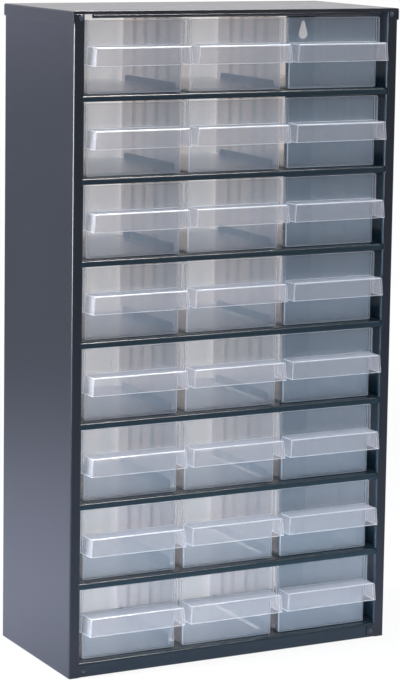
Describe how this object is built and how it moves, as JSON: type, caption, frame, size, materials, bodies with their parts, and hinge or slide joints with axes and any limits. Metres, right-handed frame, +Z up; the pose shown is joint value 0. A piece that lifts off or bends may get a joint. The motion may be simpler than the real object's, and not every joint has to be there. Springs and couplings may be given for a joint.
{
  "type": "small parts drawer cabinet",
  "caption": "Tall sheet steel cabinet, open at the back, with rows of translucent plastic drawers that slide out by hooded handles, for screws and other small parts.",
  "frame": {"origin": "centre of the bounding box's lower face: midway between the sides, and midway between the handles' fronts and the casing's back, on the surface it stands on", "axes": "+X to the right seen from the front, +Y from the drawer fronts to the back, +Z up"},
  "size_m": [0.306, 0.15, 0.552],
  "materials": {
    "painted_steel": "gloss",
    "rivet_steel": "satin",
    "clear_plastic": "translucent"
  },
  "bodies": {
    "cabinet": {"left_side_panel": "painted_steel", "right_side_panel": "painted_steel", "top_cap": "painted_steel", "bottom_panel": "painted_steel", "shelf_1": "painted_steel", "shelf_2": "painted_steel", "shelf_3": "painted_steel", "shelf_4": "painted_steel", "shelf_5": "painted_steel", "shelf_6": "painted_steel", "shelf_7": "painted_steel", "corner_rivets": "rivet_steel"},
    "drawer_row1_col1": {"drawer_row1_col1": "clear_plastic"},
    "drawer_row1_col2": {"drawer_row1_col2": "clear_plastic"},
    "drawer_row1_col3": {"drawer_row1_col3": "clear_plastic"},
    "drawer_row2_col1": {"drawer_row2_col1": "clear_plastic"},
    "drawer_row2_col2": {"drawer_row2_col2": "clear_plastic"},
    "drawer_row2_col3": {"drawer_row2_col3": "clear_plastic"},
    "drawer_row3_col1": {"drawer_row3_col1": "clear_plastic"},
    "drawer_row3_col2": {"drawer_row3_col2": "clear_plastic"},
    "drawer_row3_col3": {"drawer_row3_col3": "clear_plastic"},
    "drawer_row4_col1": {"drawer_row4_col1": "clear_plastic"},
    "drawer_row4_col2": {"drawer_row4_col2": "clear_plastic"},
    "drawer_row4_col3": {"drawer_row4_col3": "clear_plastic"},
    "drawer_row5_col1": {"drawer_row5_col1": "clear_plastic"},
    "drawer_row5_col2": {"drawer_row5_col2": "clear_plastic"},
    "drawer_row5_col3": {"drawer_row5_col3": "clear_plastic"},
    "drawer_row6_col1": {"drawer_row6_col1": "clear_plastic"},
    "drawer_row6_col2": {"drawer_row6_col2": "clear_plastic"},
    "drawer_row6_col3": {"drawer_row6_col3": "clear_plastic"},
    "drawer_row7_col1": {"drawer_row7_col1": "clear_plastic"},
    "drawer_row7_col2": {"drawer_row7_col2": "clear_plastic"},
    "drawer_row7_col3": {"drawer_row7_col3": "clear_plastic"},
    "drawer_row8_col1": {"drawer_row8_col1": "clear_plastic"},
    "drawer_row8_col2": {"drawer_row8_col2": "clear_plastic"},
    "drawer_row8_col3": {"drawer_row8_col3": "clear_plastic"}
  },
  "joints": [
    {"name": "drawer_row1_col1_slide", "type": "slide", "parent": "cabinet", "child": "drawer_row1_col1", "axis": [0, -1, 0], "range_m": [0, 0.133]},
    {"name": "drawer_row1_col2_slide", "type": "slide", "parent": "cabinet", "child": "drawer_row1_col2", "axis": [0, -1, 0], "range_m": [0, 0.133]},
    {"name": "drawer_row1_col3_slide", "type": "slide", "parent": "cabinet", "child": "drawer_row1_col3", "axis": [0, -1, 0], "range_m": [0, 0.133]},
    {"name": "drawer_row2_col1_slide", "type": "slide", "parent": "cabinet", "child": "drawer_row2_col1", "axis": [0, -1, 0], "range_m": [0, 0.134]},
    {"name": "drawer_row2_col2_slide", "type": "slide", "parent": "cabinet", "child": "drawer_row2_col2", "axis": [0, -1, 0], "range_m": [0, 0.134]},
    {"name": "drawer_row2_col3_slide", "type": "slide", "parent": "cabinet", "child": "drawer_row2_col3", "axis": [0, -1, 0], "range_m": [0, 0.134]},
    {"name": "drawer_row3_col1_slide", "type": "slide", "parent": "cabinet", "child": "drawer_row3_col1", "axis": [0, -1, 0], "range_m": [0, 0.134]},
    {"name": "drawer_row3_col2_slide", "type": "slide", "parent": "cabinet", "child": "drawer_row3_col2", "axis": [0, -1, 0], "range_m": [0, 0.134]},
    {"name": "drawer_row3_col3_slide", "type": "slide", "parent": "cabinet", "child": "drawer_row3_col3", "axis": [0, -1, 0], "range_m": [0, 0.134]},
    {"name": "drawer_row4_col1_slide", "type": "slide", "parent": "cabinet", "child": "drawer_row4_col1", "axis": [0, -1, 0], "range_m": [0, 0.134]},
    {"name": "drawer_row4_col2_slide", "type": "slide", "parent": "cabinet", "child": "drawer_row4_col2", "axis": [0, -1, 0], "range_m": [0, 0.134]},
    {"name": "drawer_row4_col3_slide", "type": "slide", "parent": "cabinet", "child": "drawer_row4_col3", "axis": [0, -1, 0], "range_m": [0, 0.134]},
    {"name": "drawer_row5_col1_slide", "type": "slide", "parent": "cabinet", "child": "drawer_row5_col1", "axis": [0, -1, 0], "range_m": [0, 0.134]},
    {"name": "drawer_row5_col2_slide", "type": "slide", "parent": "cabinet", "child": "drawer_row5_col2", "axis": [0, -1, 0], "range_m": [0, 0.134]},
    {"name": "drawer_row5_col3_slide", "type": "slide", "parent": "cabinet", "child": "drawer_row5_col3", "axis": [0, -1, 0], "range_m": [0, 0.134]},
    {"name": "drawer_row6_col1_slide", "type": "slide", "parent": "cabinet", "child": "drawer_row6_col1", "axis": [0, -1, 0], "range_m": [0, 0.134]},
    {"name": "drawer_row6_col2_slide", "type": "slide", "parent": "cabinet", "child": "drawer_row6_col2", "axis": [0, -1, 0], "range_m": [0, 0.134]},
    {"name": "drawer_row6_col3_slide", "type": "slide", "parent": "cabinet", "child": "drawer_row6_col3", "axis": [0, -1, 0], "range_m": [0, 0.134]},
    {"name": "drawer_row7_col1_slide", "type": "slide", "parent": "cabinet", "child": "drawer_row7_col1", "axis": [0, -1, 0], "range_m": [0, 0.134]},
    {"name": "drawer_row7_col2_slide", "type": "slide", "parent": "cabinet", "child": "drawer_row7_col2", "axis": [0, -1, 0], "range_m": [0, 0.134]},
    {"name": "drawer_row7_col3_slide", "type": "slide", "parent": "cabinet", "child": "drawer_row7_col3", "axis": [0, -1, 0], "range_m": [0, 0.134]},
    {"name": "drawer_row8_col1_slide", "type": "slide", "parent": "cabinet", "child": "drawer_row8_col1", "axis": [0, -1, 0], "range_m": [0, 0.134]},
    {"name": "drawer_row8_col2_slide", "type": "slide", "parent": "cabinet", "child": "drawer_row8_col2", "axis": [0, -1, 0], "range_m": [0, 0.134]},
    {"name": "drawer_row8_col3_slide", "type": "slide", "parent": "cabinet", "child": "drawer_row8_col3", "axis": [0, -1, 0], "range_m": [0, 0.134]}
  ]
}
